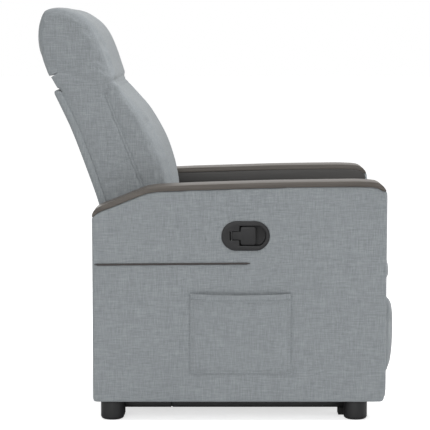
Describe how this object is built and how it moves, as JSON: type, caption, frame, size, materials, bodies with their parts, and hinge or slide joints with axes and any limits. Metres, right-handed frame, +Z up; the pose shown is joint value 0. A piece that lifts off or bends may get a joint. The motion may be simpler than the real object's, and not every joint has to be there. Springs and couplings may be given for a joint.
{
  "type": "lift recliner chair",
  "caption": "Upholstered armchair on a lift base that raises and tilts it, with a reclining back, folding footrest and side pull latch.",
  "frame": {"origin": "on the floor, under the middle of the chair's box", "axes": "+X to the chair's front, +Y to the sitter's left, +Z up"},
  "size_m": [0.903, 0.7075, 1.04],
  "materials": {
    "linen_fabric": "woven",
    "wood_look": "satin",
    "black_plastic": "fine grain",
    "black_steel": "powder coat",
    "bright_steel": "zinc plated",
    "chrome_rod": "polished",
    "frame_wood": "planed",
    "webbing": "woven",
    "rubber": "matte"
  },
  "bodies": {
    "base": {"base_side_rails": "black_steel", "base_cross_tubes": "black_steel", "base_pads": "rubber", "base_pivot_plates": "black_steel", "base_pivot_pins": "bright_steel", "actuator_bracket": "black_steel", "actuator_tail_pin": "bright_steel"},
    "lower_arms": {"lower_lift_arms": "black_steel", "lift_arm_tube": "black_steel"},
    "upper_arms": {"upper_lift_arms": "black_steel"},
    "chair": {"carriage_plates": "black_steel", "carriage_pins": "bright_steel", "carriage_tubes": "black_steel", "actuator_lug": "black_steel", "right_side_panel": "linen_fabric", "left_side_panel": "linen_fabric", "right_arm_cap": "wood_look", "left_arm_cap": "wood_look", "arm_inner_trims": "wood_look", "side_piping": "black_plastic", "side_pocket": "linen_fabric", "round_feet": "black_plastic", "foot_bolts": "bright_steel", "seat_side_rails": "frame_wood", "seat_end_rails": "frame_wood", "seat_springs": "bright_steel", "spring_clips": "bright_steel", "seat_cushion": "linen_fabric", "rear_skirt": "linen_fabric", "latch_housing": "black_plastic", "latch_pin": "bright_steel", "seat_hinge_brackets": "black_steel", "recline_pins": "bright_steel"},
    "backrest": {"back_side_boards": "frame_wood", "back_cross_boards": "frame_wood", "headboard": "frame_wood", "back_webbing": "webbing", "back_side_pads": "linen_fabric", "outside_back": "linen_fabric", "back_cushion": "linen_fabric", "head_pillow": "linen_fabric", "back_hinge_brackets": "black_steel"},
    "latch": {"latch_lever": "black_plastic"},
    "rear_arms": {"footrest_rear_arms": "black_steel", "footrest_cross_tube": "black_steel", "rear_arm_pins": "bright_steel"},
    "front_arms": {"footrest_front_arms": "black_steel", "front_arm_pins": "bright_steel"},
    "control_links": {"footrest_control_links": "black_steel"},
    "panel_links": {"footrest_panel_links": "black_steel"},
    "footrest_panel": {"footrest_board": "frame_wood", "footrest_pad": "linen_fabric", "footrest_brackets": "black_steel", "panel_pins": "bright_steel"},
    "actuator_housing": {"gear_housing": "black_plastic", "motor_can": "bright_steel", "actuator_tube": "bright_steel"},
    "rod": {"actuator_rod": "chrome_rod", "rod_fork": "black_steel", "fork_pin": "bright_steel"}
  },
  "joints": [
    {"name": "lift", "type": "hinge", "parent": "base", "child": "lower_arms", "pos_m": [0.18, 0, 0.084], "axis": [0, 1, 0], "range_deg": [0, 56]},
    {"name": "carriage_tilt", "type": "hinge", "parent": "lower_arms", "child": "chair", "pos_m": [-0.23, 0, 0.124], "axis": [0, 1, 0], "range_deg": [-32.1, 0.1]},
    {"name": "upper_arm_swing", "type": "hinge", "parent": "base", "child": "upper_arms", "pos_m": [0.258, 0, 0.062], "axis": [0, 1, 0], "range_deg": [-0.1, 65.1]},
    {"name": "actuator_swing", "type": "hinge", "parent": "base", "child": "actuator_housing", "pos_m": [0.29, 0, 0.109], "axis": [0, 1, 0], "range_deg": [-0.1, 57.1]},
    {"name": "actuator_extend", "type": "slide", "parent": "actuator_housing", "child": "rod", "axis": [-0.7572, 0, 0.6532], "range_m": [-0.0001, 0.0901]},
    {"name": "recline", "type": "hinge", "parent": "chair", "child": "backrest", "pos_m": [-0.225, 0, 0.358], "axis": [0, -1, 0], "range_deg": [0, 38]},
    {"name": "footrest", "type": "hinge", "parent": "chair", "child": "rear_arms", "pos_m": [0.29, 0, 0.298], "axis": [0, -1, 0], "range_deg": [0, 81]},
    {"name": "footrest_knee", "type": "hinge", "parent": "rear_arms", "child": "front_arms", "pos_m": [0.322, 0, 0.091], "axis": [0, 1, 0], "range_deg": [-0.1, 127.1]},
    {"name": "footrest_panel_turn", "type": "hinge", "parent": "front_arms", "child": "footrest_panel", "pos_m": [0.383, 0, 0.238], "axis": [0, -1, 0], "range_deg": [-0.1, 132.1]},
    {"name": "control_link_swing", "type": "hinge", "parent": "chair", "child": "control_links", "pos_m": [0.349, 0, 0.242], "axis": [0, -1, 0], "range_deg": [-0.1, 94.1]},
    {"name": "panel_link_swing", "type": "hinge", "parent": "rear_arms", "child": "panel_links", "pos_m": [0.317, 0, 0.132], "axis": [0, 1, 0], "range_deg": [-0.1, 128.1]},
    {"name": "latch_pull", "type": "hinge", "parent": "chair", "child": "latch", "pos_m": [0.0413, -0.34425, 0.468], "axis": [0, 0, -1], "range_deg": [0, 30], "stiffness_Nm_per_rad": 0.3, "springref_deg": -17.19}
  ],
  "couplings": [
    {"joint": "carriage_tilt", "follows": "lift", "ratio": -0.57143},
    {"joint": "upper_arm_swing", "follows": "lift", "ratio": 1.1607},
    {"joint": "actuator_swing", "follows": "lift", "ratio": 1.0179},
    {"joint": "actuator_extend", "follows": "lift", "m_per_rad": 0.092082},
    {"joint": "footrest_knee", "follows": "footrest", "ratio": 1.5679},
    {"joint": "footrest_panel_turn", "follows": "footrest", "ratio": 1.6296},
    {"joint": "control_link_swing", "follows": "footrest", "ratio": 1.1605},
    {"joint": "panel_link_swing", "follows": "footrest", "ratio": 1.5802}
  ]
}
